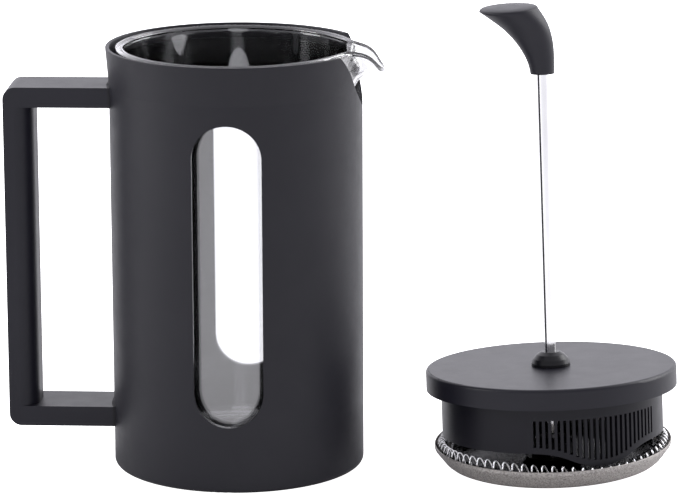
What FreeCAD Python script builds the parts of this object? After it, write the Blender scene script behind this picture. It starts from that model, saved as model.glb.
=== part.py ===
import FreeCAD, Part
import math
import os
import Sketcher

# French press: a plastic jug holder with a glass beaker, and its plunger
# with lid and filter standing beside it. Millimetres, Z up. The origin is the
# centre of the jug's foot; the spout points to +X and the handle to -X.

os.makedirs("parts", exist_ok=True)
doc = FreeCAD.newDocument("french_press")
sheet = doc.addObject("Spreadsheet::Sheet", "Sizes")

SIZES = {
    # jug holder
    "sleeve_radius": 53.0,
    "sleeve_wall": 2.8,
    "rim_wall": 1.6,
    "sleeve_height": 180.3,
    "sleeve_bottom": 0.8,
    "floor_top": 3.6,
    "flare_start": 164.0,
    "rim_radius": 54.35,
    "bottom_round": 2.4,
    "rim_round": 0.4,
    "window_half_width": 14.4,
    "window_low": 29.0,
    "window_high": 156.0,
    "foot_recess_radius": 45.0,
    "foot_recess_top": 2.0,
    "foot_radius": 44.8,
    # handle
    "handle_outer": 96.6,
    "handle_inner": 84.4,
    "handle_top": 163.8,
    "handle_bottom": 18.0,
    "arm_thickness": 8.5,
    "handle_width": 25.0,
    "handle_corner": 5.2,
    "grip_round": 7.6,
    "arm_pad_thickness": 1.0,
    "screw_radius": 2.0,
    "screw_head_radius": 4.0,
    "screw_length": 15.0,
    "screw_play": 0.05,
    # beaker
    "pad_inner": 25.0,
    "pad_outer": 44.0,
    "pad_top": 4.5,
    "beaker_bottom": 4.6,
    "beaker_floor": 8.2,
    "beaker_radius": 49.4,
    "bore_radius": 47.2,
    "bead_outer": 50.05,
    "bead_inner": 47.2,
    "bead_low": 178.1,
    "beaker_top": 181.3,
    "beaker_corner": 6.0,
    "beaker_inner_corner": 4.0,
    "beak_root": 46.0,
    "beak_middle": 57.6,
    "beak_tip": 63.2,
    "beak_low": 163.4,
    "beak_wall": 2.0,
    # plunger
    "rod_radius": 2.5,
    "rod_bottom": 1.6,
    "rod_top": 180.5,
    "rod_play": 0.06,
    "knob_bottom": 167.5,
    "insert_radius": 3.6,
    "insert_top": 179.5,
    # filter
    "nut_radius": 8.0,
    "nut_bottom": 0.9,
    "nut_top": 2.3,
    "nut_neck": 3.6,
    "nut_neck_top": 6.0,
    "plate_bottom": 0.0,
    "plate_top": 1.0,
    "plate_radius": 37.0,
    "plate_hole_ring": 23.0,
    "plate_hole_radius": 7.0,
    "mesh_top": 1.45,
    "centre_hole": 4.6,
    "dish_bottom": 1.6,
    "dish_top": 2.6,
    "mesh_rim": 10.0,
    "coil_plate_top": 2.3,
    "coil_plate_radius": 43.4,
    "coil_centre_radius": 46.7,
    "coil_section_radius": 1.95,
    "coil_height": 7.95,
    "hub_radius": 9.0,
    "hub_bottom": 6.1,
    "hub_top": 13.0,
    # lid
    "lid_radius": 53.0,
    "lid_top": 43.3,
    "lid_band_bottom": 34.6,
    "lid_wall": 2.0,
    "lid_edge_round": 1.4,
    "skirt_radius": 46.8,
    "skirt_wall": 2.0,
    "skirt_bottom": 15.2,
    "tongue_bottom": 8.7,
    "tongue_half_width": 28.0,
    "web_bottom": 39.7,
    "web_radius": 50.8,
    "slot_top": 29.0,
    "slot_width": 1.25,
    "slot_margin": 2.6,
    "dome_radius": 8.15,
    "dome_height": 6.0,
    "bush_radius": 5.0,
    "bush_bottom": 36.9,
    "bush_gap": 0.1,
    "clip_top": 39.55,
    "clip_bottom": 37.9,
    "clip_radius": 8.5,
    "turn_play": 0.08,
}
for row, (alias, value) in enumerate(SIZES.items(), start=1):
    sheet.set("A%d" % row, alias)
    sheet.set("B%d" % row, str(value))
    sheet.setAlias("B%d" % row, alias)
doc.recompute()

SLOT_COUNT = 24
SLOT_PITCH_DEG = 3.1
STRAINER_TURN_DEG = 27.0


def leaning(x, y, z, lean_deg, toward_deg):
    """A place on the table, leaning by an angle toward a compass direction."""
    toward = math.radians(toward_deg)
    tilt_axis = FreeCAD.Vector(-math.sin(toward), math.cos(toward), 0)
    return FreeCAD.Placement(FreeCAD.Vector(x, y, z), FreeCAD.Rotation(tilt_axis, lean_deg))


# The rod and the lid lean together. The filter's flat plates have play on the hub
# and lie closer to the table.
PLUNGER_PLACE = leaning(133.95, -1.2, 0.0, 4.1, 120.7)
FILTER_PLACE = leaning(133.8, -1.2, 1.29, 1.95, 182.7)
STRAINER_PLACE = PLUNGER_PLACE.multiply(FreeCAD.Placement(
    FreeCAD.Vector(0, 0, 0),
    FreeCAD.Rotation(FreeCAD.Vector(0, 0, 1), STRAINER_TURN_DEG)))

finished = []


def linked(expression):
    """Turns the size names in a formula into links to the size table."""
    words = []
    for word in expression.split():
        words.append("Sizes." + word if word.strip("()") in SIZES else word)
    return " ".join(words).replace("Sizes.(", "(Sizes.")


def new_body(label):
    body = doc.addObject("PartDesign::Body", label)
    body.Label = label
    return body


def plane_of(body, role):
    for feature in body.Origin.OriginFeatures:
        if feature.Role == role:
            return feature
    raise ValueError(role)


def new_sketch(body, role, offset=None):
    sketch = body.newObject("Sketcher::SketchObject", body.Name + "_sketch")
    sketch.AttachmentSupport = [(plane_of(body, role), "")]
    sketch.MapMode = "FlatFace"
    if offset is not None:
        sketch.setExpression("AttachmentOffset.Base.z", linked(offset))
    return sketch


def tie(sketch, kind, where, expression, start):
    """Adds one dimension and links it to its formula."""
    index = sketch.addConstraint(Sketcher.Constraint(kind, *where, start))
    if expression != "0":
        sketch.setExpression("Constraints[%d]" % index, linked(expression))


def closed_outline(sketch, corners):
    """A closed outline of straight edges through the given corners."""
    count = len(corners)
    starts = [FreeCAD.Vector(10 * math.cos(2 * math.pi * i / count),
                             10 * math.sin(2 * math.pi * i / count), 0)
              for i in range(count)]
    for i in range(count):
        sketch.addGeometry(Part.LineSegment(starts[i], starts[(i + 1) % count]), False)
    for i in range(count):
        sketch.addConstraint(Sketcher.Constraint("Coincident", i, 2, (i + 1) % count, 1))
    for i, (across, up) in enumerate(corners):
        across_start = 0.0 if across == "0" else starts[i].x
        up_start = 0.0 if up == "0" else starts[i].y
        tie(sketch, "DistanceX", (-1, 1, i, 1), across, across_start)
        tie(sketch, "DistanceY", (-1, 1, i, 1), up, up_start)


def circle_outline(sketch, across, up, radius):
    index = sketch.addGeometry(Part.Circle(FreeCAD.Vector(1, 1, 0), FreeCAD.Vector(0, 0, 1), 1), False)
    tie(sketch, "DistanceX", (-1, 1, index, 3), across, 0.0 if across == "0" else 1.0)
    tie(sketch, "DistanceY", (-1, 1, index, 3), up, 0.0 if up == "0" else 1.0)
    tie(sketch, "Radius", (index,), radius, 1.0)


def turned(body, corners, kind="PartDesign::Revolution"):
    """Turns an outline of (radius, height) corners about the body's Z axis."""
    sketch = new_sketch(body, "XZ_Plane")
    closed_outline(sketch, corners)
    feature = body.newObject(kind, body.Name + "_turned")
    feature.Profile = sketch
    feature.ReferenceAxis = (sketch, ["V_Axis"])
    feature.Angle = 360
    doc.recompute()
    return feature


def rings_at(shape, radius, height):
    """Names of the round edges with this radius at this height."""
    names = []
    for i, edge in enumerate(shape.Edges, start=1):
        round_edge = isinstance(edge.Curve, Part.Circle)
        if not round_edge:
            continue
        if abs(edge.Curve.Radius - radius) < 0.01 and abs(edge.Curve.Center.z - height) < 0.01:
            names.append("Edge%d" % i)
    return names


def rounded(body, feature, names, radius):
    fillet = body.newObject("PartDesign::Fillet", body.Name + "_round")
    fillet.Base = (feature, names)
    fillet.setExpression("Radius", linked(radius))
    doc.recompute()
    return fillet


def finish(thing, label, place=None):
    """Names one sub-part, puts it in its place and adds it to the finished ones."""
    if place is not None:
        thing.Placement = place
    thing.Label = label
    finished.append(thing)


def holder_sleeve():
    body = new_body("holder_sleeve")
    shell = turned(body, [
        ("0", "foot_recess_top"),
        ("foot_recess_radius", "foot_recess_top"),
        ("foot_recess_radius", "sleeve_bottom"),
        ("sleeve_radius", "sleeve_bottom"),
        ("sleeve_radius", "flare_start"),
        ("rim_radius", "sleeve_height"),
        ("rim_radius - rim_wall", "sleeve_height"),
        ("sleeve_radius - sleeve_wall", "flare_start"),
        ("sleeve_radius - sleeve_wall", "floor_top"),
        ("0", "floor_top"),
    ])
    foot_edge = rings_at(shell.Shape, SIZES["sleeve_radius"], SIZES["sleeve_bottom"])
    shell = rounded(body, shell, foot_edge, "bottom_round")
    rim_edges = rings_at(shell.Shape, SIZES["rim_radius"], SIZES["sleeve_height"])
    rim_edges += rings_at(shell.Shape, SIZES["rim_radius"] - SIZES["rim_wall"], SIZES["sleeve_height"])
    rounded(body, shell, rim_edges, "rim_round")

    window = new_sketch(body, "XZ_Plane")
    half = SIZES["window_half_width"]
    low = SIZES["window_low"] + half
    high = SIZES["window_high"] - half
    normal = FreeCAD.Vector(0, 0, 1)
    top = Part.ArcOfCircle(Part.Circle(FreeCAD.Vector(0, high, 0), normal, half), 0, math.pi)
    foot = Part.ArcOfCircle(Part.Circle(FreeCAD.Vector(0, low, 0), normal, half), math.pi, 2 * math.pi)
    window.addGeometry(top, False)
    window.addGeometry(foot, False)
    for side, start, end in ((-half, high, low), (half, low, high)):
        edge = Part.LineSegment(FreeCAD.Vector(side, start, 0), FreeCAD.Vector(side, end, 0))
        window.addGeometry(edge, False)
    for first, first_end, second, second_end in ((0, 2, 2, 1), (2, 2, 1, 1), (1, 2, 3, 1), (3, 2, 0, 1)):
        window.addConstraint(Sketcher.Constraint("Tangent", first, first_end, second, second_end))
    tie(window, "Radius", (0,), "window_half_width", half)
    tie(window, "DistanceX", (-1, 1, 0, 3), "0", 0.0)
    tie(window, "DistanceX", (-1, 1, 1, 3), "0", 0.0)
    tie(window, "DistanceY", (-1, 1, 0, 3), "window_high - window_half_width", high)
    tie(window, "DistanceY", (-1, 1, 1, 3), "window_low + window_half_width", low)
    windows = body.newObject("PartDesign::Pocket", "windows")
    windows.Profile = window
    windows.SideType = "Symmetric"
    windows.setExpression("Length", linked("2 * sleeve_radius + 20"))
    doc.recompute()

    notch = new_sketch(body, "YZ_Plane")
    steps = ((34, 3.1), (31, 0.9), (28.2, -1.3), (25, -4.4), (21.9, -7.7), (19, -11.1), (16.5, -14),
             (13.5, -17.2), (9.8, -20.5), (4.3, -24.1), (1.6, -25.1))
    corners = [("%.1f" % -side, "sleeve_height + %.1f" % rise) for side, rise in steps]
    corners += [("%.1f" % side, "sleeve_height + %.1f" % rise) for side, rise in reversed(steps)]
    closed_outline(notch, corners)
    notch_cut = body.newObject("PartDesign::Pocket", "spout_notch")
    notch_cut.Profile = notch
    notch_cut.Reversed = True
    notch_cut.setExpression("Length", linked("sleeve_radius + 20"))
    doc.recompute()

    for height in ("handle_top - 4.25", "handle_bottom + 4.25"):
        hole = new_sketch(body, "YZ_Plane")
        circle_outline(hole, "0", height, "screw_radius + screw_play")
        drill = body.newObject("PartDesign::Pocket", "screw_hole")
        drill.Profile = hole
        drill.setExpression("Length", linked("sleeve_radius + 20"))
        doc.recompute()
    finish(body, "holder_sleeve")
    return body


def handle():
    body = new_body("handle")
    loop = new_sketch(body, "XZ_Plane")
    closed_outline(loop, [
        ("-1 * handle_outer", "handle_bottom"),
        ("-40", "handle_bottom"),
        ("-40", "handle_bottom + arm_thickness"),
        ("-1 * handle_inner", "handle_bottom + arm_thickness"),
        ("-1 * handle_inner", "handle_top - arm_thickness"),
        ("-40", "handle_top - arm_thickness"),
        ("-40", "handle_top"),
        ("-1 * handle_outer", "handle_top"),
    ])
    slab = body.newObject("PartDesign::Pad", "handle_slab")
    slab.Profile = loop
    slab.SideType = "Symmetric"
    slab.setExpression("Length", linked("handle_width"))
    doc.recompute()

    corner_edges = []
    for i, edge in enumerate(slab.Shape.Edges, start=1):
        across = abs(edge.tangentAt(edge.FirstParameter).y) > 0.99
        if across and abs(edge.CenterOfMass.x + SIZES["handle_outer"]) < 0.01:
            corner_edges.append("Edge%d" % i)
    corners = rounded(body, slab, corner_edges, "handle_corner")
    grip_edges = []
    for i, edge in enumerate(corners.Shape.Edges, start=1):
        upright = abs(edge.tangentAt(edge.FirstParameter).z) > 0.99
        if upright and abs(edge.CenterOfMass.x + SIZES["handle_inner"]) < 0.01:
            grip_edges.append("Edge%d" % i)
    rounded(body, corners, grip_edges, "grip_round")

    seat = new_sketch(body, "XY_Plane")
    circle_outline(seat, "0", "0", "sleeve_radius + arm_pad_thickness")
    seat_cut = body.newObject("PartDesign::Pocket", "sleeve_seat")
    seat_cut.Profile = seat
    seat_cut.SideType = "Symmetric"
    seat_cut.Length = 500
    doc.recompute()

    for height in ("handle_top - 4.25", "handle_bottom + 4.25"):
        hole = new_sketch(body, "YZ_Plane")
        circle_outline(hole, "0", height, "screw_radius + screw_play")
        drill = body.newObject("PartDesign::Pocket", "pilot_hole")
        drill.Profile = hole
        drill.setExpression("Length", linked("sleeve_radius + screw_length"))
        doc.recompute()
    finish(body, "handle")


def arm_pad(label, height):
    """Thin curved gasket between one handle arm and the sleeve."""
    body = new_body(label)
    blank = new_sketch(body, "YZ_Plane")
    closed_outline(blank, [
        ("handle_width / -2", height + " - arm_thickness / 2"),
        ("handle_width / 2", height + " - arm_thickness / 2"),
        ("handle_width / 2", height + " + arm_thickness / 2"),
        ("handle_width / -2", height + " + arm_thickness / 2"),
    ])
    block = body.newObject("PartDesign::Pad", label + "_block")
    block.Profile = blank
    block.Reversed = True
    block.setExpression("Length", linked("sleeve_radius + 4"))
    doc.recompute()
    inner = new_sketch(body, "XY_Plane")
    circle_outline(inner, "0", "0", "sleeve_radius")
    inner_cut = body.newObject("PartDesign::Pocket", label + "_inner")
    inner_cut.Profile = inner
    inner_cut.SideType = "Symmetric"
    inner_cut.Length = 500
    doc.recompute()
    outer = new_sketch(body, "XY_Plane")
    circle_outline(outer, "0", "0", "sleeve_radius + arm_pad_thickness")
    circle_outline(outer, "0", "0", "sleeve_radius + 40")
    outer_cut = body.newObject("PartDesign::Pocket", label + "_outer")
    outer_cut.Profile = outer
    outer_cut.SideType = "Symmetric"
    outer_cut.Length = 500
    doc.recompute()
    hole = new_sketch(body, "YZ_Plane")
    circle_outline(hole, "0", height, "screw_radius + screw_play")
    drill = body.newObject("PartDesign::Pocket", label + "_hole")
    drill.Profile = hole
    drill.setExpression("Length", linked("sleeve_radius + 20"))
    doc.recompute()
    finish(body, label)


def handle_screw(label, height):
    """Countersunk screw that holds one arm from inside the sleeve."""
    body = new_body(label)
    turned(body, [
        ("0", "0"),
        ("screw_head_radius", "0"),
        ("screw_radius", "sleeve_wall"),
        ("screw_radius", "screw_length - 1.5"),
        ("screw_radius / 2", "screw_length"),
        ("0", "screw_length"),
    ])
    bore = SIZES["sleeve_radius"] - SIZES["sleeve_wall"]
    inside = math.sqrt(bore ** 2 - SIZES["screw_head_radius"] ** 2)
    place = FreeCAD.Placement(FreeCAD.Vector(-inside, 0, height),
                              FreeCAD.Rotation(FreeCAD.Vector(0, 1, 0), -90))
    finish(body, label, place)
    return body


def disc(label, corners, place=None):
    body = new_body(label)
    turned(body, corners)
    finish(body, label, place)
    return body


def beak_sections(body, stations, top):
    """Rounded V outlines across the beak, each at its own distance out from the axis."""
    sections = []
    for out, low, floor_half, bend_half, bend_rise, top_half in stations:
        section = new_sketch(body, "YZ_Plane", out)
        half = ((floor_half, low), (bend_half, "%s + %.1f" % (low, bend_rise)),
                (top_half, "beaker_top - 1"), (top_half, top))
        corners = [("%.1f" % side, up) for side, up in half]
        corners += [("%.1f" % -side, up) for side, up in reversed(half)]
        closed_outline(section, corners)
        sections.append(section)
    return sections


def beaker():
    body = new_body("beaker")
    blank = turned(body, [
        ("0", "beaker_bottom"),
        ("beaker_radius", "beaker_bottom"),
        ("beaker_radius", "bead_low"),
        ("bead_outer", "bead_low + 0.8"),
        ("bead_outer", "beaker_top - 0.9"),
        ("bead_outer - 0.8", "beaker_top"),
        ("0", "beaker_top"),
    ])
    foot_edge = rings_at(blank.Shape, SIZES["beaker_radius"], SIZES["beaker_bottom"])
    rounded(body, blank, foot_edge, "beaker_corner")

    outside = beak_sections(body, (
        ("beak_root", "beak_low", 2, 10, 4.5, 18),
        ("beak_middle", "beak_low + 6.1", 3.5, 7.5, 1.5, 9.4),
        ("beak_tip", "beak_low + 6.6", 1.4, 2.2, 0.5, 2.8),
    ), "beaker_top")
    beak = body.newObject("PartDesign::AdditiveLoft", "beak")
    beak.Profile = outside[0]
    beak.Sections = outside[1:]
    beak.Ruled = True
    doc.recompute()

    bore = turned(body, [
        ("0", "beaker_floor"),
        ("bore_radius - beaker_inner_corner", "beaker_floor"),
        ("bore_radius - 1.2", "beaker_floor + 1.2"),
        ("bore_radius", "beaker_floor + beaker_inner_corner"),
        ("bore_radius", "bead_low"),
        ("bead_inner", "bead_low + 0.8"),
        ("bead_inner", "beaker_top - 0.9"),
        ("bead_inner + 0.8", "beaker_top"),
        ("bead_inner + 0.8", "beaker_top + 5"),
        ("0", "beaker_top + 5"),
    ], "PartDesign::Groove")

    inside = beak_sections(body, (
        ("beak_root - 4", "beak_low + beak_wall", 1.5, 8.5, 4, 16),
        ("beak_middle", "beak_low + 5.6 + beak_wall", 2.5, 6.2, 1.2, 7.8),
        ("beak_tip + 1", "beak_low + 6.2 + beak_wall", 0.5, 0.9, 0.4, 1.2),
    ), "beaker_top + 5")
    channel = body.newObject("PartDesign::SubtractiveLoft", "pour_channel")
    channel.Profile = inside[0]
    channel.Sections = inside[1:]
    channel.Ruled = True
    doc.recompute()

    slope = new_sketch(body, "XZ_Plane")
    lip = ((48, 0.6), (50, -0.2), (52, -1.1), (54, -2.2), (56, -3.6), (58, -5.3), (60, -7.4), (62, -9.8),
           (63.2, -10.6), (66, -11), (66, 8), (48, 8))
    closed_outline(slope, [("%.1f" % along, "beaker_top + %.1f" % rise) for along, rise in lip])
    slope_cut = body.newObject("PartDesign::Pocket", "beak_slope")
    slope_cut.Profile = slope
    slope_cut.SideType = "Symmetric"
    slope_cut.Length = 80
    doc.recompute()
    finish(body, "beaker")


def knob():
    """Horn shaped knob that sweeps sideways from the rod to a flat round face."""
    # height above the neck's foot, shift to the side, half width along the sweep, half depth
    stations = (
        (0.0, 0.0, 5.15, 5.1),
        (4.5, 0.4, 5.6, 5.4),
        (9.2, 1.45, 6.6, 6.1),
        (14.4, 3.4, 8.05, 7.2),
        (19.2, 6.1, 9.6, 8.6),
        (23.0, 9.1, 11.0, 10.1),
        (28.2, 13.9, 12.3, 12.1),
    )
    rings = []
    for height, shift, half_width, half_depth in stations:
        ring = doc.addObject("Part::Ellipse", "knob_ring")
        ring.MajorRadius = half_width
        ring.MinorRadius = half_depth
        tilt = FreeCAD.Rotation()
        if height == stations[-1][0]:
            tilt = FreeCAD.Rotation(FreeCAD.Vector(0, 1, 0), -1.6)
            tilt = tilt.multiply(FreeCAD.Rotation(FreeCAD.Vector(1, 0, 0), 3.5))
        ring.Placement = FreeCAD.Placement(FreeCAD.Vector(-shift, 0, SIZES["knob_bottom"] + height), tilt)
        rings.append(ring)
    horn = doc.addObject("Part::Loft", "knob_horn")
    horn.Sections = rings
    horn.Solid = True
    horn.Ruled = False
    bore = doc.addObject("Part::Cylinder", "knob_bore")
    bore.setExpression("Radius", linked("insert_radius"))
    bore.setExpression("Height", linked("insert_top - knob_bottom + 2.8"))
    bore.setExpression("Placement.Base.z", linked("knob_bottom - 1"))
    drilled = doc.addObject("Part::Cut", "knob_drilled")
    drilled.Base = horn
    drilled.Tool = bore
    doc.recompute()
    face_edge = [i for i, edge in enumerate(drilled.Shape.Edges, start=1)
                 if edge.CenterOfMass.z > SIZES["knob_bottom"] + 24]
    soft = doc.addObject("Part::Fillet", "knob")
    soft.Base = drilled
    soft.Edges = [(i, 0.8, 0.8) for i in face_edge]
    doc.recompute()
    finish(soft, "knob", PLUNGER_PLACE)


def cross_plate():
    body = new_body("cross_plate")
    turned(body, [
        ("centre_hole", "dish_bottom"),
        ("11", "dish_bottom"),
        ("13", "plate_bottom"),
        ("plate_radius", "plate_bottom"),
        ("plate_radius", "plate_top"),
        ("13.5", "plate_top"),
        ("11.5", "dish_top"),
        ("centre_hole", "dish_top"),
    ])
    hole = new_sketch(body, "XY_Plane")
    circle_outline(hole, "plate_hole_ring", "0", "plate_hole_radius")
    drill = body.newObject("PartDesign::Pocket", "flow_hole")
    drill.Profile = hole
    drill.SideType = "Symmetric"
    drill.Length = 20
    doc.recompute()
    ring = body.newObject("PartDesign::PolarPattern", "flow_holes")
    ring.Originals = [drill]
    ring.Axis = (hole, ["N_Axis"])
    ring.Angle = 360
    ring.Occurrences = 6
    body.Tip = ring
    doc.recompute()
    finish(body, "cross_plate", FILTER_PLACE)


def coil_spring():
    """The ring that the fine edge coil fills: a round tube of the coil's outer size."""
    ring = doc.addObject("Part::Torus", "coil_spring")
    ring.setExpression("Radius1", linked("coil_centre_radius"))
    ring.setExpression("Radius2", linked("coil_section_radius"))
    lifted = FreeCAD.Placement(FreeCAD.Vector(0, 0, SIZES["coil_height"]), FreeCAD.Rotation())
    finish(ring, "coil_spring", FILTER_PLACE.multiply(lifted))


def tongue_edge(across):
    """Height of the strainer's lower edge at a distance to the side of its tongue."""
    reach = SIZES["tongue_half_width"]
    drop = SIZES["skirt_bottom"] - SIZES["tongue_bottom"]
    curve = (reach ** 2 + drop ** 2) / (4 * drop)
    side = abs(across)
    if side >= reach:
        return SIZES["skirt_bottom"]
    if side <= reach / 2:
        return SIZES["tongue_bottom"] + curve - math.sqrt(curve ** 2 - side ** 2)
    return SIZES["skirt_bottom"] - curve + math.sqrt(curve ** 2 - (reach - side) ** 2)


def strainer():
    """Ring under the lid, with a grille and a tongue that reaches down to the filter."""
    body = new_body("strainer_ring")
    turned(body, [
        ("bush_radius + turn_play", "web_bottom"),
        ("skirt_radius - skirt_wall", "web_bottom"),
        ("skirt_radius - skirt_wall", "tongue_bottom"),
        ("skirt_radius", "tongue_bottom"),
        ("skirt_radius", "web_bottom"),
        ("web_radius", "web_bottom"),
        ("web_radius", "lid_top - lid_wall"),
        ("bush_radius + turn_play", "lid_top - lid_wall"),
    ])
    below = new_sketch(body, "XZ_Plane")
    reach = SIZES["tongue_half_width"]
    low = SIZES["tongue_bottom"]
    high = SIZES["skirt_bottom"]
    drop = high - low
    curve = (reach ** 2 + drop ** 2) / (4 * drop)
    normal = FreeCAD.Vector(0, 0, 1)
    half_angle = math.asin(reach / 2 / curve)
    right = Part.Circle(FreeCAD.Vector(reach, high - curve, 0), normal, curve)
    middle = Part.Circle(FreeCAD.Vector(0, low + curve, 0), normal, curve)
    left = Part.Circle(FreeCAD.Vector(-reach, high - curve, 0), normal, curve)
    up = math.pi / 2
    below.addGeometry(Part.ArcOfCircle(right, up, up + half_angle), False)
    below.addGeometry(Part.ArcOfCircle(middle, 3 * up - half_angle, 3 * up + half_angle), False)
    below.addGeometry(Part.ArcOfCircle(left, up - half_angle, up), False)
    trail = [(-reach, high), (-80, high), (-80, low - 10), (80, low - 10), (80, high), (reach, high)]
    for (x_a, y_a), (x_b, y_b) in zip(trail, trail[1:]):
        below.addGeometry(Part.LineSegment(FreeCAD.Vector(x_a, y_a, 0), FreeCAD.Vector(x_b, y_b, 0)), False)
    cut = body.newObject("PartDesign::Pocket", "tongue_shape")
    cut.Profile = below
    cut.SideType = "Symmetric"
    cut.Length = 200
    doc.recompute()

    # the tongue stays on one side only
    back = new_sketch(body, "XZ_Plane")
    closed_outline(back, [("-80", "0"), ("80", "0"), ("80", "skirt_bottom"), ("-80", "skirt_bottom")])
    back_cut = body.newObject("PartDesign::Pocket", "plain_back")
    back_cut.Profile = back
    back_cut.Length = 100
    doc.recompute()

    bars = []
    for i in range(SLOT_COUNT):
        turn = (i - (SLOT_COUNT - 1) / 2) * SLOT_PITCH_DEG
        across = SIZES["skirt_radius"] * math.sin(math.radians(turn))
        foot = tongue_edge(across) + SIZES["slot_margin"]
        bar = doc.addObject("Part::Box", "slot")
        bar.setExpression("Length", linked("slot_width"))
        bar.Width = 8
        bar.Height = SIZES["slot_top"] - foot
        turn_place = FreeCAD.Placement(FreeCAD.Vector(), FreeCAD.Rotation(normal, turn))
        seat = FreeCAD.Vector(-SIZES["slot_width"] / 2, -SIZES["skirt_radius"] - 3, foot)
        bar.Placement = turn_place.multiply(FreeCAD.Placement(seat, FreeCAD.Rotation()))
        bars.append(bar)
    comb = doc.addObject("Part::MultiFuse", "slot_comb")
    comb.Shapes = bars
    grille = doc.addObject("Part::Cut", "strainer")
    grille.Base = body
    grille.Tool = comb
    doc.recompute()
    finish(grille, "strainer", STRAINER_PLACE)


def drilled_sleeve_seat(sleeve, screws):
    """Countersinks the sleeve wall for the screw heads."""
    heads = doc.addObject("Part::MultiFuse", "screw_heads")
    cones = []
    for screw in screws:
        cone = doc.addObject("Part::Cone", "countersink")
        cone.setExpression("Radius1", linked("screw_head_radius + screw_play"))
        cone.setExpression("Radius2", linked("screw_radius + screw_play"))
        cone.setExpression("Height", linked("sleeve_wall"))
        cone.Placement = screw.Placement
        cones.append(cone)
    heads.Shapes = cones
    seated = doc.addObject("Part::Cut", "holder_sleeve_countersunk")
    seated.Base = sleeve
    seated.Tool = heads
    doc.recompute()
    finished.remove(sleeve)
    sleeve.Label = "sleeve_blank"
    finish(seated, "holder_sleeve")


sleeve_body = holder_sleeve()
handle()
upper_height = SIZES["handle_top"] - SIZES["arm_thickness"] / 2
lower_height = SIZES["handle_bottom"] + SIZES["arm_thickness"] / 2
arm_pad("arm_pad_upper", "handle_top - arm_thickness / 2")
arm_pad("arm_pad_lower", "handle_bottom + arm_thickness / 2")
screw_bodies = [handle_screw("handle_screw_upper", upper_height),
                handle_screw("handle_screw_lower", lower_height)]
drilled_sleeve_seat(sleeve_body, screw_bodies)
disc("foot_pad", [
    ("0", "0"),
    ("foot_radius - 0.8", "0"),
    ("foot_radius", "0.8"),
    ("foot_radius", "foot_recess_top"),
    ("0", "foot_recess_top"),
])
disc("beaker_pad", [
    ("pad_inner", "floor_top"),
    ("pad_outer", "floor_top"),
    ("pad_outer", "pad_top"),
    ("pad_inner", "pad_top"),
])
beaker()
disc("rod", [
    ("0", "rod_bottom"),
    ("rod_radius - 0.5", "rod_bottom"),
    ("rod_radius", "rod_bottom + 0.5"),
    ("rod_radius", "rod_top - 0.5"),
    ("rod_radius - 0.5", "rod_top"),
    ("0", "rod_top"),
], PLUNGER_PLACE)
knob()
disc("knob_insert", [
    ("rod_radius + rod_play", "knob_bottom"),
    ("insert_radius", "knob_bottom"),
    ("insert_radius", "insert_top"),
    ("rod_radius + rod_play", "insert_top"),
], PLUNGER_PLACE)
disc("filter_nut", [
    ("0", "nut_bottom"),
    ("nut_radius - 1", "nut_bottom"),
    ("nut_radius", "nut_bottom + 0.5"),
    ("nut_radius", "nut_top"),
    ("nut_neck", "nut_top"),
    ("nut_neck", "nut_neck_top"),
    ("rod_radius + rod_play", "nut_neck_top"),
    ("rod_radius + rod_play", "rod_bottom - 0.2"),
    ("0", "rod_bottom - 0.2"),
], PLUNGER_PLACE)
cross_plate()
disc("mesh_screen", [
    ("centre_hole", "dish_top"),
    ("11.5", "dish_top"),
    ("13.5", "plate_top"),
    ("37.1", "plate_top"),
    ("42", "1.25"),
    ("44.2", "1.6"),
    ("46", "3"),
    ("47.6", "5"),
    ("49", "6.9"),
    ("50.2", "8.5"),
    ("50.2", "mesh_rim"),
    ("49.75", "mesh_rim"),
    ("49.75", "8.65"),
    ("48.62", "7.18"),
    ("47.2", "5.25"),
    ("45.65", "3.3"),
    ("44", "2.05"),
    ("41.9", "1.7"),
    ("36.95", "mesh_top"),
    ("13.7", "mesh_top"),
    ("11.7", "dish_top + 0.45"),
    ("centre_hole", "dish_top + 0.45"),
], FILTER_PLACE)
disc("coil_plate", [
    ("centre_hole", "dish_top + 0.45"),
    ("11.7", "dish_top + 0.45"),
    ("13.7", "mesh_top"),
    ("36.9", "mesh_top"),
    ("40.6", "2.22"),
    ("42.8", "3.6"),
    ("coil_plate_radius", "5.2"),
    ("coil_plate_radius", "7.6"),
    ("coil_plate_radius - 1", "7.6"),
    ("coil_plate_radius - 1", "5.4"),
    ("41.9", "4.2"),
    ("39.9", "2.95"),
    ("36.7", "coil_plate_top"),
    ("13.8", "coil_plate_top"),
    ("12.1", "4.1"),
    ("centre_hole", "4.1"),
], FILTER_PLACE)
coil_spring()
disc("filter_hub", [
    ("rod_radius + rod_play", "hub_bottom"),
    ("hub_radius", "hub_bottom"),
    ("hub_radius", "hub_top - 2"),
    ("hub_radius - 3", "hub_top"),
    ("rod_radius + rod_play", "hub_top"),
], PLUNGER_PLACE)
lid_cap_body = new_body("lid_cap")
lid_blank = turned(lid_cap_body, [
    ("bush_radius + turn_play", "lid_top - lid_wall"),
    ("lid_radius - lid_wall", "lid_top - lid_wall"),
    ("lid_radius - lid_wall", "lid_band_bottom"),
    ("lid_radius", "lid_band_bottom"),
    ("lid_radius", "lid_top"),
    ("bush_radius + turn_play", "lid_top"),
])
lid_edge = rings_at(lid_blank.Shape, SIZES["lid_radius"], SIZES["lid_top"])
rounded(lid_cap_body, lid_blank, lid_edge, "lid_edge_round")
finish(lid_cap_body, "lid_cap", PLUNGER_PLACE)
strainer()
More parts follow.
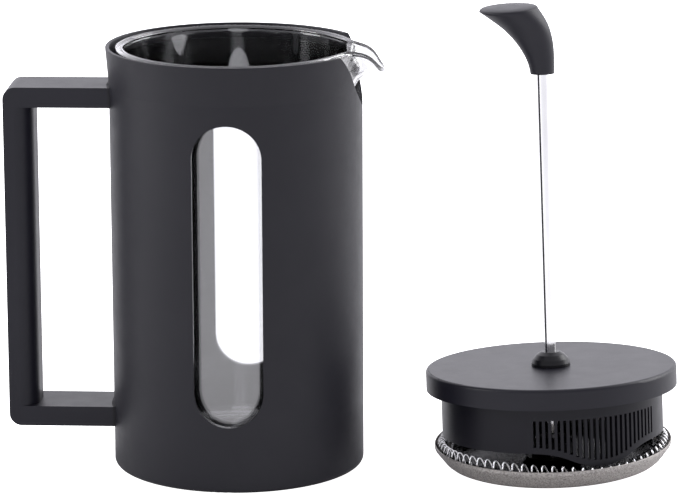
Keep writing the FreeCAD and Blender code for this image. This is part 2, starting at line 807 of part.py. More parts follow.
disc("lid_bush", [
    ("rod_radius + rod_play", "bush_bottom"),
    ("bush_radius", "bush_bottom"),
    ("bush_radius", "lid_top + bush_gap"),
    ("dome_radius", "lid_top + bush_gap"),
    ("dome_radius", "lid_top + 1.2"),
    ("dome_radius - 0.7", "lid_top + 3"),
    ("dome_radius - 2.2", "lid_top + 4.8"),
    ("dome_radius - 4.2", "lid_top + dome_height"),
    ("rod_radius + rod_play", "lid_top + dome_height"),
], PLUNGER_PLACE)
disc("bush_clip", [
    ("bush_radius", "clip_bottom"),
    ("clip_radius", "clip_bottom"),
    ("clip_radius", "clip_top"),
    ("bush_radius", "clip_top"),
], PLUNGER_PLACE)

doc.recompute()
for thing in doc.Objects:
    if "Invalid" in thing.State or "Error" in thing.State:
        raise RuntimeError("feature %s did not build" % thing.Name)
for thing in finished:
    if thing.Shape.isNull() or not thing.Shape.isValid():
        raise RuntimeError("sub-part %s has no valid shape" % thing.Label)
    thing.Shape.exportStep("parts/%s.step" % thing.Label)
    box = thing.Shape.BoundBox
    print("%-20s %9.1f mm3  X %.1f..%.1f  Y %.1f..%.1f  Z %.2f..%.2f" % (
        thing.Label, thing.Shape.Volume, box.XMin, box.XMax, box.YMin, box.YMax, box.ZMin, box.ZMax))
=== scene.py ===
import math

import bmesh
import bpy
from mathutils import Matrix, Vector


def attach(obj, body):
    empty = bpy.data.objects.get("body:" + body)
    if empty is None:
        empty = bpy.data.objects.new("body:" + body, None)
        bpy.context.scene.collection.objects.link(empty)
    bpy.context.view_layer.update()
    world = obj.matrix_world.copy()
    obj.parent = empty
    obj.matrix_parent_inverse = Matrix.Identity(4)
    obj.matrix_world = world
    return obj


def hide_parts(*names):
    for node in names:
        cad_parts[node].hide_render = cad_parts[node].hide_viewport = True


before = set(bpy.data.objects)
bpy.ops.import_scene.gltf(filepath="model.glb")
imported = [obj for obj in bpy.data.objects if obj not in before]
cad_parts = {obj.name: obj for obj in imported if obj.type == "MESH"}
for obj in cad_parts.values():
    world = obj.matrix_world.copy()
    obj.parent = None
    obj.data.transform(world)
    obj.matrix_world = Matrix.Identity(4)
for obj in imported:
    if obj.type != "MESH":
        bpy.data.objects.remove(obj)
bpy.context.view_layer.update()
MM = 0.001


# ---------------------------------------------------------------- places

def leaning(x, y, z, lean, toward):
    """A place on the table, leaning by an angle toward a compass direction."""
    toward = math.radians(toward)
    tilt_axis = Vector((-math.sin(toward), math.cos(toward), 0.0))
    tilt = Matrix.Rotation(math.radians(lean), 4, tilt_axis)
    return Matrix.Translation((x * MM, y * MM, z * MM)) @ tilt


ON_TABLE = Matrix.Identity(4)
ROD_PLACE = leaning(133.95, -1.2, 0.0, 4.1, 120.7)
FILTER_PLACE = leaning(133.8, -1.2, 1.29, 1.95, 182.7)


# ---------------------------------------------------------------- shader helpers

def new_node(tree, kind, **values):
    """Adds a node and sets its properties or, by their names, its sockets."""
    node = tree.nodes.new(kind)
    for name, value in values.items():
        if hasattr(node, name):
            setattr(node, name, value)
        else:
            node.inputs[name.replace("_", " ").title()].default_value = value
    return node


def join(tree, source, target):
    tree.links.new(source, target)


def effect_group(name, inputs, outputs):
    """An empty shader group with float inputs (with defaults) and outputs."""
    tree = bpy.data.node_groups.new(name, "ShaderNodeTree")
    for label, default in inputs:
        socket = tree.interface.new_socket(label, in_out="INPUT", socket_type="NodeSocketFloat")
        socket.default_value = default
    for label in outputs:
        tree.interface.new_socket(label, in_out="OUTPUT", socket_type="NodeSocketFloat")
    return tree, tree.nodes.new("NodeGroupInput"), tree.nodes.new("NodeGroupOutput")


def moulded_skin_group():
    """Fine pebbled skin of moulded plastic, with broad cloudy tone and faint handling marks."""
    tree, taken, given = effect_group(
        "moulded skin", (("Pebbles per metre", 4200.0), ("Clouds per metre", 14.0)),
        ("Height", "Tone", "Marks"))
    place = new_node(tree, "ShaderNodeTexCoord")
    pebbles = new_node(tree, "ShaderNodeTexNoise", detail=2.0, roughness=0.55)
    clouds = new_node(tree, "ShaderNodeTexNoise", detail=3.0, roughness=0.6)
    marks = new_node(tree, "ShaderNodeTexNoise", detail=5.0, roughness=0.7, scale=90.0)
    for texture in (pebbles, clouds, marks):
        join(tree, place.outputs["Object"], texture.inputs["Vector"])
    join(tree, taken.outputs["Pebbles per metre"], pebbles.inputs["Scale"])
    join(tree, taken.outputs["Clouds per metre"], clouds.inputs["Scale"])
    join(tree, pebbles.outputs["Fac"], given.inputs["Height"])
    join(tree, clouds.outputs["Fac"], given.inputs["Tone"])
    join(tree, marks.outputs["Fac"], given.inputs["Marks"])
    return tree


def brushed_group():
    """Fine scratches drawn out along one direction, for turned, drawn and rolled metal."""
    tree, taken, given = effect_group(
        "drawn scratches", (("Across per metre", 9000.0), ("Along per metre", 60.0)),
        ("Height", "Tone"))
    place = new_node(tree, "ShaderNodeTexCoord")
    stretch = new_node(tree, "ShaderNodeCombineXYZ")
    for axis, label in (("X", "Across per metre"), ("Y", "Across per metre"), ("Z", "Along per metre")):
        join(tree, taken.outputs[label], stretch.inputs[axis])
    scaled = new_node(tree, "ShaderNodeVectorMath", operation="MULTIPLY")
    join(tree, place.outputs["Object"], scaled.inputs[0])
    join(tree, stretch.outputs["Vector"], scaled.inputs[1])
    lines = new_node(tree, "ShaderNodeTexNoise", scale=1.0, detail=3.0, roughness=0.6)
    join(tree, scaled.outputs["Vector"], lines.inputs["Vector"])
    broad = new_node(tree, "ShaderNodeTexNoise", scale=60.0, detail=2.0)
    join(tree, place.outputs["Object"], broad.inputs["Vector"])
    join(tree, lines.outputs["Fac"], given.inputs["Height"])
    join(tree, broad.outputs["Fac"], given.inputs["Tone"])
    return tree


MOULDED_SKIN = moulded_skin_group()
DRAWN_SCRATCHES = brushed_group()


def new_finish(name):
    """A material with its Principled shader."""
    material = bpy.data.materials.new(name)
    material.use_nodes = True
    return material, material.node_tree, material.node_tree.nodes["Principled BSDF"]


def use_group(tree, group, **values):
    node = tree.nodes.new("ShaderNodeGroup")
    node.node_tree = group
    for name, value in values.items():
        node.inputs[name.replace("_", " ")].default_value = value
    return node


# the stretch of a noise texture's values that a mask uses
MASK_LOW = 0.3
MASK_HIGH = 0.7


def shade_between(tree, mask, low, high, target):
    """Mixes two colours by a mask into a colour socket."""
    ramp = new_node(tree, "ShaderNodeValToRGB")
    stops = ramp.color_ramp.elements
    for stop, position, colour in ((stops[0], MASK_LOW, low), (stops[1], MASK_HIGH, high)):
        stop.position = position
        stop.color = (*colour, 1.0)
    join(tree, mask, ramp.inputs["Fac"])
    join(tree, ramp.outputs["Color"], target)


def spread_between(tree, mask, low, high, target):
    """Maps a mask onto a range of values for a number socket."""
    spread = new_node(tree, "ShaderNodeMapRange", From_Min=MASK_LOW, From_Max=MASK_HIGH,
                      To_Min=low, To_Max=high)
    join(tree, mask, spread.inputs["Value"])
    join(tree, spread.outputs["Result"], target)


def raise_surface(tree, height, strength, depth, shader):
    bump = new_node(tree, "ShaderNodeBump", Strength=strength, Distance=depth)
    join(tree, height, bump.inputs["Height"])
    join(tree, bump.outputs["Normal"], shader.inputs["Normal"])


# ---------------------------------------------------------------- finishes

def moulded_black(name, low, high, dull=(0.4, 0.5), pebbles=4200.0, depth=0.00004, gloss=0.3):
    """Black moulded plastic with a pebbled skin."""
    material, tree, shader = new_finish(name)
    skin = use_group(tree, MOULDED_SKIN, Pebbles_per_metre=pebbles)
    shade_between(tree, skin.outputs["Tone"], low, high, shader.inputs["Base Color"])
    spread_between(tree, skin.outputs["Marks"], *dull, shader.inputs["Roughness"])
    raise_surface(tree, skin.outputs["Height"], 0.35, depth, shader)
    shader.inputs["Specular IOR Level"].default_value = gloss
    return material


def holder_black():
    """Black of the sleeve: pebbled outside; smoother inside where the glass sits, with its inside colour
    darkened as painted shade.
    """
    material, tree, shader = new_finish("holder black")
    skin = use_group(tree, MOULDED_SKIN)
    place = new_node(tree, "ShaderNodeTexCoord")
    flat = new_node(tree, "ShaderNodeVectorMath", operation="MULTIPLY")
    flat.inputs[1].default_value = (1.0, 1.0, 0.0)
    join(tree, place.outputs["Object"], flat.inputs[0])
    radius = new_node(tree, "ShaderNodeVectorMath", operation="LENGTH")
    join(tree, flat.outputs["Vector"], radius.inputs[0])
    outside = new_node(tree, "ShaderNodeMapRange", From_Min=0.0515, From_Max=0.0525)
    join(tree, radius.outputs["Value"], outside.inputs["Value"])
    colour = new_node(tree, "ShaderNodeMix", data_type="RGBA")
    join(tree, outside.outputs["Result"], colour.inputs["Factor"])
    shaded_inner_colour, outer_colour = colour.inputs[6], colour.inputs[7]
    # the inside's much darker colour is painted shade of the sleeve's deep inner wall; its lower roughness is
    # the real smoother moulding
    shaded_inner_colour.default_value = (0.0025, 0.0025, 0.003, 1.0)
    shade_between(tree, skin.outputs["Tone"], (0.0085, 0.0082, 0.012), (0.0115, 0.0112, 0.0155), outer_colour)
    join(tree, colour.outputs[2], shader.inputs["Base Color"])
    dull = new_node(tree, "ShaderNodeMix", data_type="FLOAT")
    join(tree, outside.outputs["Result"], dull.inputs["Factor"])
    inner_dull, outer_dull = dull.inputs[2], dull.inputs[3]
    inner_dull.default_value = 0.2
    spread_between(tree, skin.outputs["Marks"], 0.42, 0.5, outer_dull)
    join(tree, dull.outputs[0], shader.inputs["Roughness"])
    raise_surface(tree, skin.outputs["Height"], 0.35, 0.00004, shader)
    shader.inputs["Specular IOR Level"].default_value = 0.3
    return material


def clear_glass():
    """Clear pressed glass with faint waviness and a breath of haze."""
    material, tree, shader = new_finish("clear pressed glass")
    skin = use_group(tree, MOULDED_SKIN, Pebbles_per_metre=45.0)
    shade_between(tree, skin.outputs["Tone"], (0.97, 0.98, 0.985), (1.0, 1.0, 1.0),
                  shader.inputs["Base Color"])
    spread_between(tree, skin.outputs["Marks"], 0.0, 0.03, shader.inputs["Roughness"])
    raise_surface(tree, skin.outputs["Height"], 0.05, 0.0002, shader)
    shader.inputs["Transmission Weight"].default_value = 1.0
    shader.inputs["IOR"].default_value = 1.5
    shader.inputs["Coat Weight"].default_value = 1.0
    shader.inputs["Coat IOR"].default_value = 1.72
    shader.inputs["Coat Roughness"].default_value = 0.05
    return material


def bare_metal(name, low, high, dull, across=9000.0, along=60.0, depth=0.00001):
    """Metal with drawn scratches: rod, plates, screws."""
    material, tree, shader = new_finish(name)
    scratches = use_group(tree, DRAWN_SCRATCHES, Across_per_metre=across, Along_per_metre=along)
    shade_between(tree, scratches.outputs["Tone"], low, high, shader.inputs["Base Color"])
    spread_between(tree, scratches.outputs["Height"], *dull, shader.inputs["Roughness"])
    raise_surface(tree, scratches.outputs["Height"], 0.3, depth, shader)
    shader.inputs["Metallic"].default_value = 1.0
    return material


def soft_silicone():
    material, tree, shader = new_finish("grey silicone")
    skin = use_group(tree, MOULDED_SKIN, Pebbles_per_metre=2500.0)
    shade_between(tree, skin.outputs["Tone"], (0.28, 0.28, 0.29), (0.36, 0.36, 0.37),
                  shader.inputs["Base Color"])
    spread_between(tree, skin.outputs["Marks"], 0.55, 0.75, shader.inputs["Roughness"])
    raise_surface(tree, skin.outputs["Height"], 0.4, 0.00005, shader)
    return material


def woven_wire():
    """Plain weave of fine steel wire: strands run round and up the bowl by its UV map; its colour is painted
    darker between the strands as shade.
    """
    material, tree, shader = new_finish("woven filter wire")
    place = new_node(tree, "ShaderNodeUVMap", uv_map="weave")
    parts = new_node(tree, "ShaderNodeSeparateXYZ")
    join(tree, place.outputs["UV"], parts.inputs["Vector"])
    strands = []
    for axis in ("X", "Y"):
        turn = new_node(tree, "ShaderNodeMath", operation="MULTIPLY")
        turn.inputs[1].default_value = math.pi
        join(tree, parts.outputs[axis], turn.inputs[0])
        wave = new_node(tree, "ShaderNodeMath", operation="SINE")
        join(tree, turn.outputs["Value"], wave.inputs[0])
        strands.append(wave)
    crossed = new_node(tree, "ShaderNodeMath", operation="MULTIPLY")
    join(tree, strands[0].outputs["Value"], crossed.inputs[0])
    join(tree, strands[1].outputs["Value"], crossed.inputs[1])
    over = new_node(tree, "ShaderNodeMapRange", From_Min=-1.0)
    join(tree, crossed.outputs["Value"], over.inputs["Value"])
    skin = use_group(tree, MOULDED_SKIN, Pebbles_per_metre=1300.0)
    grain = new_node(tree, "ShaderNodeMath", operation="MULTIPLY")
    grain.inputs[1].default_value = 0.55
    join(tree, skin.outputs["Height"], grain.inputs[0])
    weave_shade_and_grain = new_node(tree, "ShaderNodeMath", operation="MULTIPLY_ADD")
    weave_shade_and_grain.inputs[1].default_value = 0.45
    join(tree, over.outputs["Result"], weave_shade_and_grain.inputs[0])
    join(tree, grain.outputs["Value"], weave_shade_and_grain.inputs[2])
    # the dark colour low in the weave is painted shade between the strands; the grain part adds random tone
    shade_between(tree, weave_shade_and_grain.outputs["Value"], (0.1, 0.093, 0.086), (0.64, 0.605, 0.575),
                  shader.inputs["Base Color"])
    spread_between(tree, skin.outputs["Marks"], 0.38, 0.55, shader.inputs["Roughness"])
    raise_surface(tree, over.outputs["Result"], 0.8, 0.00012, shader)
    shader.inputs["Metallic"].default_value = 0.75
    return material


HOLDER_BLACK = holder_black()
HANDLE_BLACK = moulded_black(
    "handle black", (0.0075, 0.0072, 0.012), (0.0105, 0.0102, 0.016), (0.4, 0.46))
LID_BLACK = moulded_black(
    "lid black", (0.0065, 0.0062, 0.0105), (0.009, 0.0087, 0.014), (0.38, 0.42))
STRAINER_BLACK = moulded_black(
    "strainer black", (0.005, 0.0048, 0.0075), (0.0075, 0.0072, 0.011), (0.32, 0.4), 3000.0, gloss=0.22)
KNOB_BLACK = moulded_black(
    "soft knob black", (0.0105, 0.0102, 0.0145), (0.0145, 0.014, 0.0195), (0.42, 0.5), 5200.0)
BUSH_BLACK = moulded_black(
    "bush black", (0.005, 0.005, 0.007), (0.007, 0.007, 0.009), (0.3, 0.38), 2000.0, 0.00001)
PAD_RUBBER = moulded_black(
    "dark pad rubber", (0.012, 0.012, 0.014), (0.02, 0.02, 0.023), (0.6, 0.75), 2500.0, 0.00005, 0.25)
GLASS = clear_glass()
ROD_STEEL = bare_metal(
    "polished rod steel", (0.8, 0.8, 0.8), (0.88, 0.88, 0.88), (0.05, 0.1), 9000.0, 30.0)
PLATE_STEEL = bare_metal(
    "rolled plate steel", (0.5, 0.49, 0.48), (0.62, 0.61, 0.6), (0.2, 0.34), 700.0, 4000.0)
# the near-black colour of this polished steel is a painted dark reflection of the black lid and strainer
# above it, not the steel's own colour
DARK_REFLECTION_DISC_STEEL = bare_metal(
    "polished disc steel with painted dark reflection", (0.03, 0.03, 0.031), (0.1, 0.1, 0.102), (0.06, 0.12), 1100.0, 1100.0, 0.0005)
SPRING_STEEL = bare_metal(
    "bright spring wire", (0.93, 0.93, 0.93), (0.99, 0.99, 0.99), (0.05, 0.1), 3000.0, 3000.0)
SCREW_STEEL = bare_metal(
    "plated screw steel", (0.45, 0.45, 0.46), (0.6, 0.6, 0.6), (0.25, 0.4), 5000.0, 5000.0)
INSERT_BRASS = bare_metal(
    "turned brass", (0.6, 0.42, 0.16), (0.75, 0.56, 0.25), (0.2, 0.35), 400.0, 6000.0)
SILICONE = soft_silicone()
WOVEN_WIRE = woven_wire()


# ---------------------------------------------------------------- mesh helpers

def spun(profile, steps, merged=True):
    """Turns a profile of (radius, height) in millimetres about Z into a mesh."""
    shape = bmesh.new()
    corners = [shape.verts.new((radius * MM, 0.0, height * MM)) for radius, height in profile]
    edges = [shape.edges.new(pair) for pair in zip(corners, corners[1:])]
    bmesh.ops.spin(shape, geom=corners + edges, cent=(0, 0, 0), axis=(0, 0, 1), dvec=(0, 0, 0),
                   angle=2 * math.pi, steps=steps, use_merge=True, use_duplicate=False)
    if merged:
        bmesh.ops.remove_doubles(shape, verts=shape.verts, dist=1e-7)
        bmesh.ops.recalc_face_normals(shape, faces=shape.faces)
    return shape


def placed(shape, name, place, finish, body):
    """Makes the object of a finished shape, in its place, riding on its body."""
    bmesh.ops.transform(shape, matrix=place, verts=shape.verts)
    mesh = bpy.data.meshes.new(name)
    shape.to_mesh(mesh)
    shape.free()
    for face in mesh.polygons:
        face.use_smooth = True
    mesh.materials.append(finish)
    piece = bpy.data.objects.new(name, mesh)
    bpy.context.collection.objects.link(piece)
    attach(piece, body)
    return piece


def along_curve(points, t):
    """Point on a smooth curve through evenly numbered points."""
    last = len(points) - 1
    spot = min(max(t, 0.0), 1.0) * last
    index = min(int(spot), last - 1)
    part = spot - index
    before = points[max(index - 1, 0)]
    start, end = points[index], points[index + 1]
    after = points[min(index + 2, last)]
    return 0.5 * (2 * start + part * (end - before)
                  + part ** 2 * (2 * before - 5 * start + 4 * end - after)
                  + part ** 3 * (3 * start - before - 3 * end + after))


# ---------------------------------------------------------------- glass beaker

# middle of the glass lip from the beak's tip round to the plain rim, in even turns
BEAK_SPREAD = 30.0
LIP_HEIGHT = 179.85
LIP_RADIUS = 48.55
LIP = [Vector(v) for v in (
    (62.4, 0.0, 170.2), (62.1, 2.4, 170.4), (61.4, 4.7, 171.2), (60.2, 6.8, 172.6), (58.7, 8.8, 174.7),
    (56.9, 10.3, 176.6), (54.75, 11.4, 177.95), (52.4, 12.2, 178.75), (50.2, 13.2, 179.25),
    (48.2, 15.0, 179.65), (46.1, 17.7, 179.82), (44.2, 20.7, 179.85), (42.05, 24.28, 179.85))]
GLASS_OUTER = 49.4
GLASS_INNER = 47.2
GLASS_MIDDLE = (GLASS_OUTER + GLASS_INNER) / 2
GLASS_HALF = (GLASS_OUTER - GLASS_INNER) / 2
BEAD_RADIUS = 1.45
# just under the bead the wall swells toward it
SWELL = 0.25
SWELL_FROM = 0.9
SHAPED_FROM = 158.0
WALL_HEIGHTS = (20, 40, 70, 100, 130, 150)
WALL_STEPS = 20


def lip_point(turn):
    """Middle of the lip at a turn from the beak, in degrees."""
    side = abs(turn)
    if side >= BEAK_SPREAD:
        angle = math.radians(turn)
        return Vector((LIP_RADIUS * math.cos(angle), LIP_RADIUS * math.sin(angle), LIP_HEIGHT))
    spot = along_curve(LIP, side / BEAK_SPREAD)
    return Vector((spot.x, math.copysign(spot.y, turn), spot.z))


def wall_point(turn, rise):
    """Middle of the glass wall; rise goes from 0 where shaping starts to 1 at the lip."""
    angle = math.radians(turn)
    outward = Vector((math.cos(angle), math.sin(angle), 0.0))
    lip = lip_point(turn)
    beaked = max(0.0, 1.0 - abs(turn) / BEAK_SPREAD)
    foot = outward * GLASS_MIDDLE + Vector((0, 0, SHAPED_FROM))
    height = lip.z - SHAPED_FROM
    pour = 0.5 - 0.5 * math.cos(math.pi * min(1.0, beaked * 1.5))
    steep = math.radians(90.0 * (1.0 - 0.96 * pour))
    forward = outward.lerp(Vector((1.0, 0.0, 0.0)), pour).normalized()
    heading = forward * math.cos(steep) + Vector((0, 0, math.sin(steep)))
    first = foot + Vector((0, 0, height * (0.36 + 0.42 * beaked)))
    reach = height * 0.36 + 4.4 * beaked * pour
    second = lip - heading * reach
    left = 1.0 - rise
    return (foot * left ** 3 + first * 3 * rise * left ** 2
            + second * 3 * rise ** 2 * left + lip * rise ** 3)


def glass_thinning(turn):
    """How much thinner the glass is drawn in the beak: 1 at the plain rim, less at the tip."""
    beaked = max(0.0, 1.0 - abs(turn) / BEAK_SPREAD)
    return 1.0 - 0.38 * min(1.0, beaked * 1.5)


def wall_frame(turn, rise):
    """Middle point, outward direction and upward direction of the wall."""
    step = 0.01
    point = wall_point(turn, rise)
    around = wall_point(turn + step, rise) - wall_point(turn - step, rise)
    low, high = max(0.0, rise - step), min(1.0, rise + step)
    upward = (wall_point(turn, high) - wall_point(turn, low)).normalized()
    outward = around.cross(upward).normalized()
    return point, outward, outward.cross(around).normalized() * -1.0


def beaker_rows():
    """Rows of the beaker from the middle of its foot, up outside, over the bead and down inside.

    Plain rows are (radius, "plain", height), shaped ones (rise, "wall", side) or (bend, "bead", 0).
    """
    rises = [step / WALL_STEPS for step in range(WALL_STEPS)]
    rows = [(0.0, "plain", 4.6), (30.0, "plain", 4.6), (41.0, "plain", 4.6)]
    for step in range(7):
        angle = math.radians(15 * step)
        rows.append((43.4 + 6 * math.sin(angle), "plain", 10.6 - 6 * math.cos(angle)))
    rows += [(GLASS_OUTER, "plain", height) for height in WALL_HEIGHTS]
    rows += [(rise, "wall", 1.0) for rise in rises]
    rows += [(step * 30.0, "bead", 0.0) for step in range(-3, 4)]
    rows += [(rise, "wall", -1.0) for rise in reversed(rises)]
    rows += [(GLASS_INNER, "plain", height) for height in reversed(WALL_HEIGHTS)]
    for step in range(6, -1, -1):
        angle = math.radians(15 * step)
        rows.append((43.2 + 4 * math.sin(angle), "plain", 12.2 - 4 * math.cos(angle)))
    return rows + [(38.0, "plain", 8.2), (15.0, "plain", 8.2), (0.0, "plain", 8.2)]


def beaker_corner(row, turn):
    """Where a corner of the beaker's mesh lies, from its row and its turn from the beak."""
    first, kind, second = row
    if kind == "plain":
        angle = math.radians(turn)
        return Vector((first * math.cos(angle), first * math.sin(angle), second))
    if kind == "wall":
        point, outward, _ = wall_frame(turn, first)
        thinned = 1.0 - (1.0 - glass_thinning(turn)) * min(1.0, first * 1.6)
        thick = (GLASS_HALF + SWELL * max(0.0, first - SWELL_FROM) / (1.0 - SWELL_FROM)) * thinned
        return point + outward * thick * second
    point, outward, upward = wall_frame(turn, 1.0)
    bend = math.radians(first)
    return point + (upward * math.cos(bend) - outward * math.sin(bend)) * BEAD_RADIUS * glass_thinning(turn)


def glass_beaker():
    """Round beaker with a beaded rim, drawn out into a beak at +X."""
    rows = beaker_rows()
    # the first turning only numbers the rows, by height; each corner then goes to its own place
    shape = spun([(10.0 + index, float(index)) for index in range(len(rows))], 300, False)
    for corner in shape.verts:
        row = rows[int(round(corner.co.z / MM))]
        turn = math.degrees(math.atan2(corner.co.y, corner.co.x))
        # corners stand closer together near the beak
        packed = turn * (0.42 + 0.58 * min(1.0, abs(turn) / 180.0) ** 0.9)
        corner.co = beaker_corner(row, packed) * MM
    bmesh.ops.remove_doubles(shape, verts=shape.verts, dist=1e-6)
    bmesh.ops.recalc_face_normals(shape, faces=shape.faces)
    piece = placed(shape, "glass_beaker", ON_TABLE, GLASS, "beaker")
    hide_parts("beaker")
    return piece


# ---------------------------------------------------------------- knob

KNOB_FOOT = 167.5
FACE_SLOPE_ALONG = math.tan(math.radians(1.6))
FACE_SLOPE_ACROSS = math.tan(math.radians(3.5))


def horn_knob():
    """Horn shaped knob: stacked ovals that sweep sideways to a slanting round face."""
    # height, shift to the side, half width along the sweep, half depth
    stations = [Vector(v) for v in (
        (0.0, 0.0, 5.0, 5.0), (4.5, 0.4, 5.55, 5.35), (9.2, 1.45, 6.6, 6.1), (14.4, 3.4, 8.05, 7.2),
        (19.2, 6.15, 9.65, 8.6), (23.0, 9.25, 11.05, 10.1), (27.2, 13.3, 12.35, 12.0))]
    shape = bmesh.new()
    layers = 22
    crown = ((1.0, 0.0), (0.985, 0.55), (0.94, 0.95), (0.4, 1.0))
    bmesh.ops.create_circle(shape, cap_ends=False, radius=1.0, segments=48)
    ring = list(shape.edges)
    rings = [list(shape.verts)]
    for _ in range(layers + len(crown)):
        grown = bmesh.ops.extrude_edge_only(shape, edges=ring)
        ring = [item for item in grown["geom"] if isinstance(item, bmesh.types.BMEdge)]
        rings.append([item for item in grown["geom"] if isinstance(item, bmesh.types.BMVert)])
    for level, corners in enumerate(rings):
        part = min(1.0, max(0.0, (level - 1) / layers))
        height, shift, wide, deep = along_curve(stations, part)
        grow, lift = crown[max(0, level - 1 - layers)]
        if level == 0:
            grow = 0.72
        slant = part ** 3
        for corner in corners:
            angle = math.atan2(corner.co.y, corner.co.x)
            across, along = math.cos(angle) * wide * grow, math.sin(angle) * deep * grow
            rise = height + lift + slant * (across * FACE_SLOPE_ALONG + along * FACE_SLOPE_ACROSS)
            corner.co = Vector((across - shift, along, KNOB_FOOT + rise)) * MM
    bmesh.ops.holes_fill(shape, edges=[edge for edge in shape.edges if edge.is_boundary], sides=0)
    bmesh.ops.recalc_face_normals(shape, faces=shape.faces)
    piece = placed(shape, "horn_knob", ROD_PLACE, KNOB_BLACK, "knob")
    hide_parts("knob")
    return piece


# ---------------------------------------------------------------- filter

RIM_RADIUS = 50.0
WIRE_PITCH = 0.26


def woven_bowl():
    """Bowl of woven wire with a folded rim; its UV map counts the strands."""
    outside = [(4.6, 2.6), (11.5, 2.6), (13.5, 1.0), (20, 1.0), (30, 1.0), (37.1, 1.0), (40, 1.12),
               (42, 1.25), (43.6, 1.42), (44.6, 1.85), (46, 3.0), (46.8, 4.0), (47.6, 5.0), (48.3, 5.95),
               (49, 6.9), (49.7, 7.8), (50.08, 8.3), (50.2, 8.8), (50.2, 9.6)]
    fold = [(50.12, 10.0), (49.95, 10.1), (49.8, 10.0)]
    inside = [(49.75, 9.6), (49.74, 8.9), (49.6, 8.45), (49.25, 7.97), (48.62, 7.18), (47.9, 6.2),
              (47.2, 5.25), (46.4, 4.25), (45.65, 3.3), (44.6, 2.25), (43.5, 1.85), (41.9, 1.7),
              (39.9, 1.56), (36.95, 1.45), (30, 1.45), (20, 1.45), (13.7, 1.45), (11.7, 3.05), (4.6, 3.05)]
    shape = spun(outside + fold + inside + outside[:1], 160)
    weave = shape.loops.layers.uv.new("weave")
    for face in shape.faces:
        middle = face.calc_center_median()
        middle_turn = math.atan2(middle.y, middle.x)
        for loop in face.loops:
            spot = loop.vert.co
            turn = math.atan2(spot.y, spot.x)
            if turn - middle_turn > math.pi:
                turn -= 2 * math.pi
            if turn - middle_turn < -math.pi:
                turn += 2 * math.pi
            run = math.hypot(spot.x, spot.y) + spot.z
            loop[weave].uv = (turn * RIM_RADIUS / WIRE_PITCH, run / MM / WIRE_PITCH)
    piece = placed(shape, "woven_bowl", FILTER_PLACE, WOVEN_WIRE, "filter")
    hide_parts("mesh_screen")
    return piece


# half width, half height and middle height of the coil's loops, every 30 degrees from +X
COIL_LOOPS = [Vector(v) for v in (
    (2.0, 2.9, 9.1), (1.8, 2.4, 8.3), (1.8, 2.0, 8.0), (1.8, 2.0, 8.0), (1.8, 2.0, 8.0), (1.8, 2.3, 8.2),
    (1.8, 2.8, 9.0), (1.3, 3.2, 9.6), (1.15, 3.3, 9.8), (1.2, 2.9, 9.2), (1.6, 1.9, 7.9), (1.8, 2.5, 8.7),
    (2.0, 2.9, 9.1))]
COIL_OUTER = 48.6


def coil_section(turn):
    """Loop size and height at a turn in degrees; the loops stand taller where nothing presses them."""
    return along_curve(COIL_LOOPS, turn / 360.0)


def edge_coil():
    """Fine spring coil closed into a ring round the filter's edge."""
    turns = 72
    per_turn = 16
    # the loops lean so that their outer strands stand upright
    loop_lean = 0.014
    wire = bpy.data.curves.new("edge_coil", "CURVE")
    wire.dimensions = "3D"
    wire.bevel_depth = 0.42 * MM
    wire.bevel_resolution = 1
    line = wire.splines.new("POLY")
    total = turns * per_turn
    line.points.add(total - 1)
    for i in range(total):
        around = 2 * math.pi * i / total
        roll = 2 * math.pi * i / per_turn
        side, tall, height = coil_section(math.degrees(around) % 360.0)
        radius = COIL_OUTER - side + side * math.cos(roll)
        around -= loop_lean * math.sin(roll)
        line.points[i].co = (radius * math.cos(around) * MM, radius * math.sin(around) * MM,
                             (height + tall * math.sin(roll)) * MM, 1.0)
    line.use_cyclic_u = True
    holder = bpy.data.objects.new("edge_coil_curve", wire)
    bpy.context.collection.objects.link(holder)
    mesh = bpy.data.meshes.new_from_object(holder.evaluated_get(bpy.context.evaluated_depsgraph_get()))
    bpy.data.objects.remove(holder)
    shape = bmesh.new()
    shape.from_mesh(mesh)
    bmesh.ops.recalc_face_normals(shape, faces=shape.faces)
    piece = placed(shape, "edge_coil", FILTER_PLACE, SPRING_STEEL, "filter")
    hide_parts("coil_spring")
    return piece


# ---------------------------------------------------------------- finishes of the frame's own parts

FINISHES = {
    "holder_sleeve": HOLDER_BLACK, "handle": HANDLE_BLACK,
    "arm_pad_upper": PAD_RUBBER, "arm_pad_lower": PAD_RUBBER,
    "handle_screw_upper": SCREW_STEEL, "handle_screw_lower": SCREW_STEEL,
    "foot_pad": SILICONE, "beaker_pad": SILICONE, "beaker": GLASS,
    "filter_nut": PLATE_STEEL, "cross_plate": PLATE_STEEL, "mesh_screen": WOVEN_WIRE,
    "coil_plate": DARK_REFLECTION_DISC_STEEL, "coil_spring": SPRING_STEEL, "filter_hub": STRAINER_BLACK,
    "rod": ROD_STEEL, "knob": KNOB_BLACK, "knob_insert": INSERT_BRASS,
    "lid_bush": BUSH_BLACK, "bush_clip": PLATE_STEEL, "lid_cap": LID_BLACK, "strainer": STRAINER_BLACK,
}
for node_name, finish in FINISHES.items():
    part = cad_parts[node_name]
    part.data.materials.clear()
    part.data.materials.append(finish)

glass_beaker()
horn_knob()
woven_bowl()
edge_coil()


# ---------------------------------------------------------------- table, light and camera

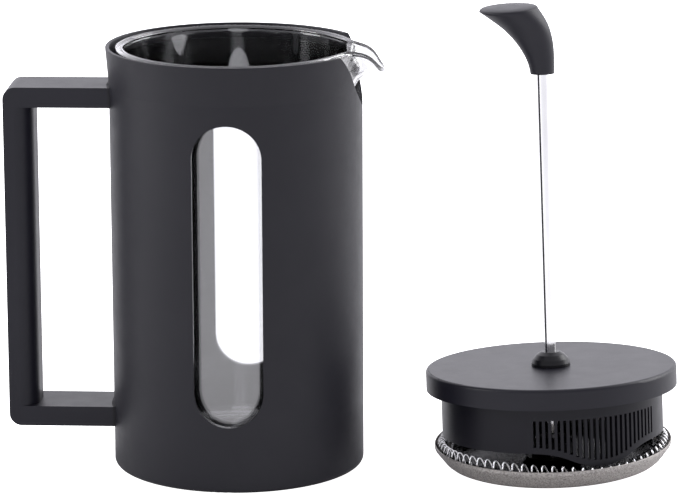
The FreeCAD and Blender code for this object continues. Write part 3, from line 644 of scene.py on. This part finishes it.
def white_table():
    """Plain pale table with an even, barely mottled surface, lifted to clean white where it is looked at."""
    shape = bmesh.new()
    bmesh.ops.create_grid(shape, x_segments=2, y_segments=2, size=6.0)
    mesh = bpy.data.meshes.new("table")
    shape.to_mesh(mesh)
    shape.free()
    material, tree, shader = new_finish("white table")
    skin = use_group(tree, MOULDED_SKIN, Pebbles_per_metre=300.0)
    shade_between(tree, skin.outputs["Tone"], (0.93, 0.93, 0.93), (0.96, 0.96, 0.96),
                  shader.inputs["Base Color"])
    spread_between(tree, skin.outputs["Marks"], 0.85, 0.95, shader.inputs["Roughness"])
    shader.inputs["Specular IOR Level"].default_value = 0.1
    shader.inputs["Emission Color"].default_value = (1.0, 1.0, 1.0, 1.0)
    seen = new_node(tree, "ShaderNodeLightPath")
    lifted = new_node(tree, "ShaderNodeMath", operation="MULTIPLY")
    lifted.inputs[1].default_value = 1.2
    join(tree, seen.outputs["Is Camera Ray"], lifted.inputs[0])
    join(tree, lifted.outputs["Value"], shader.inputs["Emission Strength"])
    mesh.materials.append(material)
    table = bpy.data.objects.new("table", mesh)
    bpy.context.collection.objects.link(table)


def white_studio():
    """White surroundings, brightest on the backdrop and calmer toward the viewer."""
    world = bpy.data.worlds.new("white studio")
    bpy.context.scene.world = world
    world.use_nodes = True
    tree = world.node_tree
    place = new_node(tree, "ShaderNodeTexCoord")
    parts = new_node(tree, "ShaderNodeSeparateXYZ")
    join(tree, place.outputs["Generated"], parts.inputs["Vector"])
    strength = new_node(tree, "ShaderNodeMapRange", interpolation_type="SMOOTHSTEP",
                        From_Min=-0.5, From_Max=0.9, To_Min=0.72, To_Max=1.66)
    join(tree, parts.outputs["Y"], strength.inputs["Value"])
    join(tree, strength.outputs["Result"], tree.nodes["Background"].inputs["Strength"])
    tree.nodes["Background"].inputs["Color"].default_value = (0.97, 0.96, 1.03, 1.0)


def soft_box(name, where, aim, width, height, power):
    light = bpy.data.lights.new(name, "AREA")
    light.shape = "RECTANGLE"
    light.size = width
    light.size_y = height
    light.energy = power
    box = bpy.data.objects.new(name, light)
    box.location = where
    box.rotation_euler = (Vector(aim) - Vector(where)).to_track_quat("-Z", "Y").to_euler()
    bpy.context.collection.objects.link(box)


def long_lens_camera(where, yaw, pitch, roll, length):
    """Camera looking along +Y, turned by yaw, tipped down by pitch and rolled, all in degrees."""
    yaw, pitch, roll = (math.radians(angle) for angle in (yaw, pitch, roll))
    ahead = Vector((math.sin(yaw) * math.cos(pitch), math.cos(yaw) * math.cos(pitch), -math.sin(pitch)))
    level = Vector((math.cos(yaw), -math.sin(yaw), 0.0))
    right = level * math.cos(roll) + level.cross(ahead) * math.sin(roll)
    above = right.cross(ahead)
    lens = bpy.data.cameras.new("camera")
    lens.sensor_width = 36.0
    lens.lens = length
    lens.clip_start = 0.1
    camera = bpy.data.objects.new("camera", lens)
    camera.matrix_world = Matrix((
        (right.x, above.x, -ahead.x, where[0]),
        (right.y, above.y, -ahead.y, where[1]),
        (right.z, above.z, -ahead.z, where[2]),
        (0.0, 0.0, 0.0, 1.0)))
    bpy.context.collection.objects.link(camera)
    bpy.context.scene.camera = camera


white_table()
white_studio()
soft_box("right box", (1.4, 0.7, 0.9), (0.0, 0.0, 0.1), 0.9, 1.1, 14.0)
soft_box("left box", (-1.5, -0.3, 0.8), (0.0, 0.0, 0.1), 0.7, 1.2, 11.0)
long_lens_camera((0.1371, -1.6352, 0.4781), yaw=-3.29, pitch=13.22, roll=-0.25, length=211.8)
bpy.context.scene.view_settings.view_transform = "Standard"
